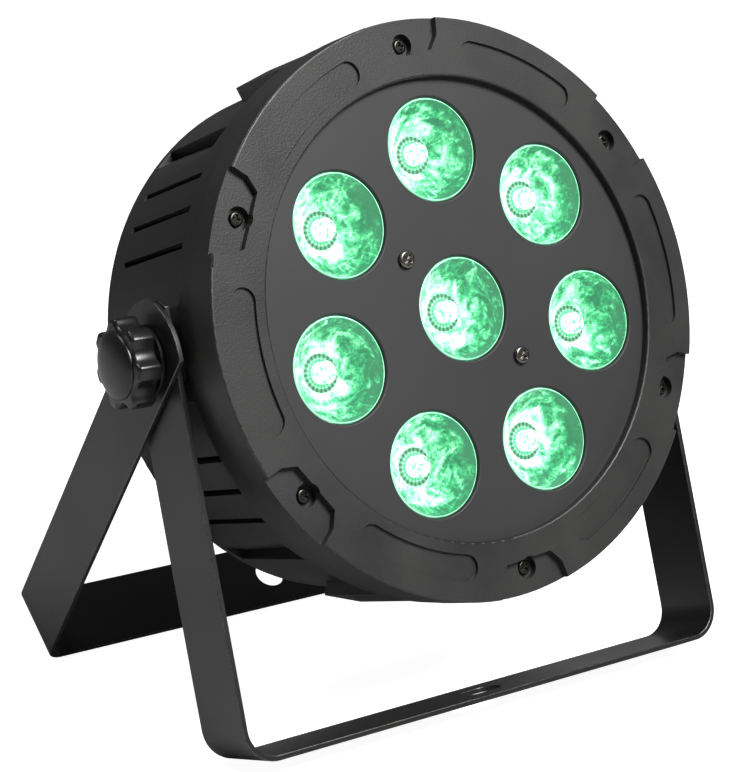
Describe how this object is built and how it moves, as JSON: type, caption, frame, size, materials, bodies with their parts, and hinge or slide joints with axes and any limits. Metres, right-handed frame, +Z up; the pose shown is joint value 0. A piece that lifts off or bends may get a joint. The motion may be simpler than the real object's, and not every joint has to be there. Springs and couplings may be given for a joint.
{
  "type": "par can light",
  "caption": "Slim round LED par light with recessed clear lenses, a screwed bezel ring, a vented housing and two hoop brackets clamped by star knobs.",
  "frame": {"origin": "on the floor, under the middle of the light's bounding box, as it stands on both brackets", "axes": "+Z up, the light faces -Y (tilted up by 17.4 degrees), +X to the right of someone facing the light"},
  "size_m": [0.2656, 0.1886, 0.2631],
  "materials": {
    "housing_plastic": "fine moulded grain",
    "bezel_plastic": "leather-like moulded grain",
    "plate": "satin dark grey paint",
    "holder_plastic": "matt black",
    "lens": "clear moulded acrylic",
    "board_aluminium": "white solder mask",
    "emitter": "lit emitter",
    "sink_aluminium": "cast",
    "circuit_board": "green solder mask",
    "components": "matt",
    "window": "smoked",
    "connector_plastic": "moulded",
    "brass": "bright",
    "latch_metal": "polished",
    "zinc_steel": "zinc plated",
    "black_steel": "black zinc",
    "fibre": "matt",
    "powder_coat": "satin black powder coat",
    "knob_plastic": "semi-matt",
    "button_plastic": "matt"
  },
  "bodies": {
    "head": {"housing": "housing_plastic", "bezel": "bezel_plastic", "front_plate": "plate", "led_board": "board_aluminium", "led_emitters": "emitter", "heat_sink": "sink_aluminium", "driver_board": "circuit_board", "transformer": "components", "capacitors": "components", "control_board": "circuit_board", "display_module": "components", "display_window": "window", "rear_cover": "housing_plastic", "dmx_inlet": "connector_plastic", "dmx_inlet_pins": "brass", "dmx_outlet": "connector_plastic", "mains_inlet": "connector_plastic", "mains_inlet_pins": "brass", "fuse_holder": "connector_plastic", "safety_eye": "zinc_steel", "plate_standoffs": "brass", "bezel_screws": "black_steel", "plate_screws": "zinc_steel", "cover_screws": "black_steel", "heat_sink_screws": "zinc_steel", "board_screws": "zinc_steel", "connector_screws": "zinc_steel", "pivot_inserts": "brass", "friction_washers": "fibre", "lens_1": "lens", "lens_holder_1": "holder_plastic", "lens_2": "lens", "lens_holder_2": "holder_plastic", "lens_3": "lens", "lens_holder_3": "holder_plastic", "lens_4": "lens", "lens_holder_4": "holder_plastic", "lens_5": "lens", "lens_holder_5": "holder_plastic", "lens_6": "lens", "lens_holder_6": "holder_plastic", "lens_7": "lens", "lens_holder_7": "holder_plastic", "lens_8": "lens", "lens_holder_8": "holder_plastic"},
    "front_bracket": {"front_bracket": "powder_coat"},
    "rear_bracket": {"rear_bracket": "powder_coat"},
    "left_clamp": {"left_knob_washer": "zinc_steel"},
    "left_knob": {"left_knob": "knob_plastic", "left_knob_stud": "zinc_steel"},
    "right_clamp": {"right_knob_washer": "zinc_steel"},
    "right_knob": {"right_knob": "knob_plastic", "right_knob_stud": "zinc_steel"},
    "menu_key_1": {"menu_button_1": "button_plastic"},
    "menu_key_2": {"menu_button_2": "button_plastic"},
    "menu_key_3": {"menu_button_3": "button_plastic"},
    "menu_key_4": {"menu_button_4": "button_plastic"},
    "latch": {"outlet_latch": "latch_metal"},
    "fuse_cap": {"fuse_cap": "connector_plastic"}
  },
  "joints": [
    {"name": "front_bracket_swing", "type": "hinge", "parent": "head", "child": "front_bracket", "pos_m": [0, -0.02382, 0.14637], "axis": [1, 0, 0], "continuous": true},
    {"name": "rear_bracket_swing", "type": "hinge", "parent": "head", "child": "rear_bracket", "pos_m": [0, -0.02382, 0.14637], "axis": [1, 0, 0], "continuous": true},
    {"name": "left_clamp_travel", "type": "slide", "parent": "head", "child": "left_clamp", "axis": [-1, 0, 0], "range_m": [0, 0.0025]},
    {"name": "left_knob_turn", "type": "hinge", "parent": "left_clamp", "child": "left_knob", "pos_m": [-0.11816, -0.02382, 0.14637], "axis": [-1, 0, 0], "range_deg": [0, 720]},
    {"name": "right_clamp_travel", "type": "slide", "parent": "head", "child": "right_clamp", "axis": [1, 0, 0], "range_m": [0, 0.0025]},
    {"name": "right_knob_turn", "type": "hinge", "parent": "right_clamp", "child": "right_knob", "pos_m": [0.11816, -0.02382, 0.14637], "axis": [1, 0, 0], "range_deg": [0, 720]},
    {"name": "menu_key_1_press", "type": "slide", "parent": "head", "child": "menu_key_1", "axis": [0, -0.9542, 0.299], "range_m": [0, 0.0008], "stiffness_N_per_m": 400},
    {"name": "menu_key_2_press", "type": "slide", "parent": "head", "child": "menu_key_2", "axis": [0, -0.9542, 0.299], "range_m": [0, 0.0008], "stiffness_N_per_m": 400},
    {"name": "menu_key_3_press", "type": "slide", "parent": "head", "child": "menu_key_3", "axis": [0, -0.9542, 0.299], "range_m": [0, 0.0008], "stiffness_N_per_m": 400},
    {"name": "menu_key_4_press", "type": "slide", "parent": "head", "child": "menu_key_4", "axis": [0, -0.9542, 0.299], "range_m": [0, 0.0008], "stiffness_N_per_m": 400},
    {"name": "outlet_latch_press", "type": "slide", "parent": "head", "child": "latch", "axis": [0, -0.9542, 0.299], "range_m": [0, 0.001], "stiffness_N_per_m": 500},
    {"name": "fuse_cap_turn", "type": "hinge", "parent": "head", "child": "fuse_cap", "pos_m": [0.026, 0.01299, 0.06986], "axis": [0, 0.9542, -0.299], "range_deg": [0, 60]}
  ],
  "couplings": [
    {"joint": "left_knob_turn", "follows": "left_clamp_travel", "rad_per_m": 5026.5},
    {"joint": "right_knob_turn", "follows": "right_clamp_travel", "rad_per_m": 5026.5}
  ]
}
